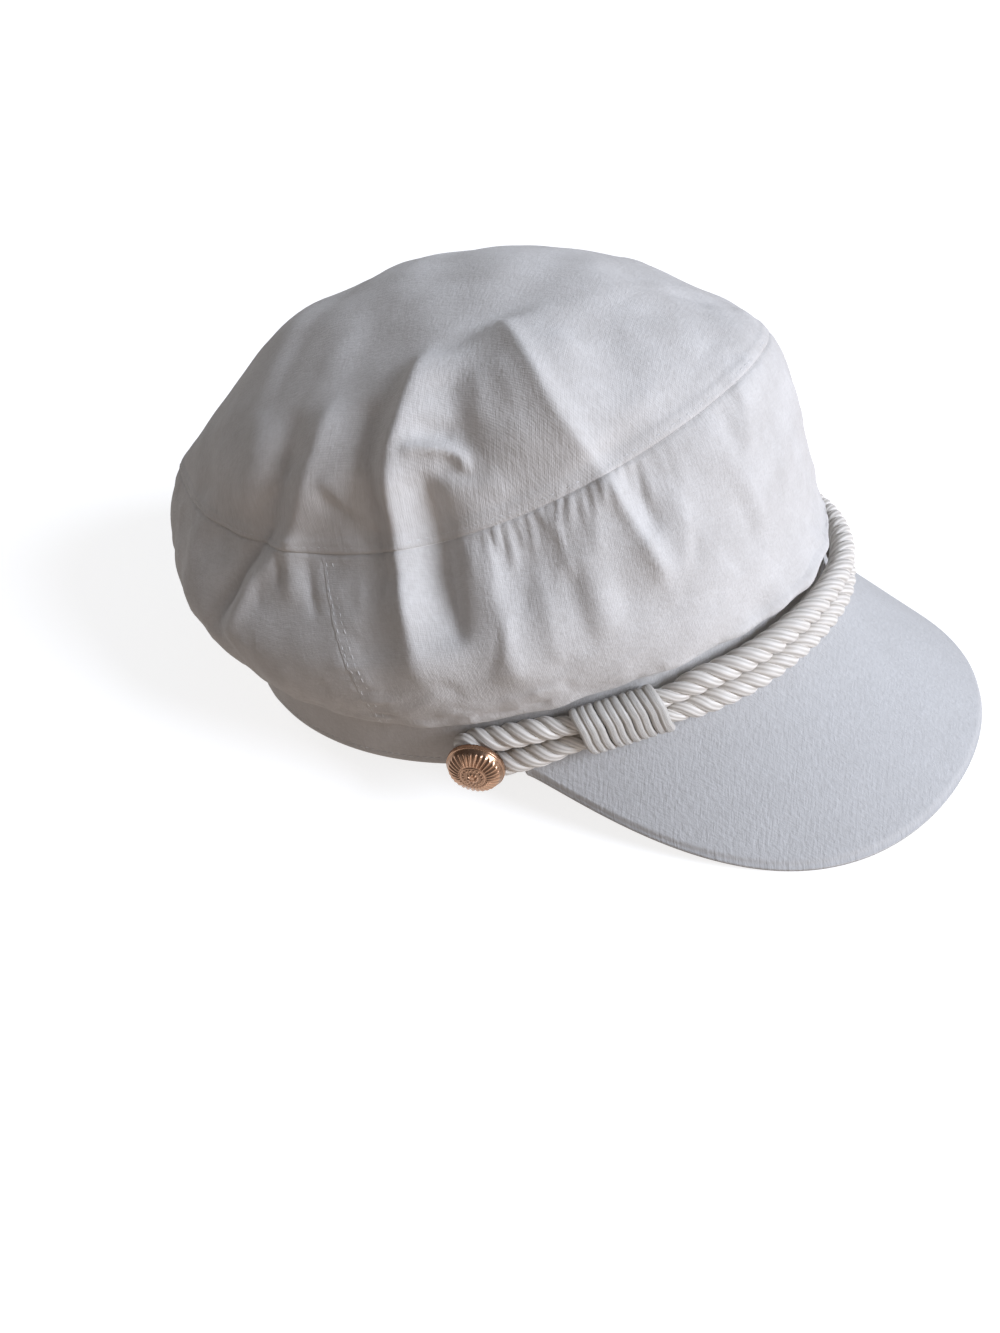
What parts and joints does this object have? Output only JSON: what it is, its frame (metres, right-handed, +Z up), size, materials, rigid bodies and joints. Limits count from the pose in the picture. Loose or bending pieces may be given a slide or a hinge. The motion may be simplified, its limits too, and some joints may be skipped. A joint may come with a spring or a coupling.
{
  "type": "captain hat",
  "caption": "Soft white cotton captain hat with a slack crown, band, stiff curved peak, doubled twisted rope with whippings and domed metal buttons.",
  "frame": {"origin": "on the surface the hat rests on, under the middle of its bounding box", "axes": "-Y towards the front of the hat, where the peak is, +X towards the wearer's left, +Z up from the surface"},
  "size_m": [0.1856, 0.2768, 0.1364],
  "materials": {
    "crown_cotton": "matt off-white woven cotton, soft and slightly puckered",
    "peak_cotton": "matt white cotton canvas stretched over a board",
    "ivory_cord": "ivory satin cord in three twisted strands",
    "gilt_metal": "polished rose-gilt stamped metal, darker in the grooves"
  },
  "bodies": {
    "root": {"crown_top": "crown_cotton", "crown_side_front": "crown_cotton", "crown_side_back": "crown_cotton", "band": "crown_cotton", "peak": "peak_cotton", "rope": "ivory_cord", "whipping_right": "ivory_cord", "whipping_left": "ivory_cord", "button_right": "gilt_metal", "button_left": "gilt_metal"}
  },
  "joints": []
}
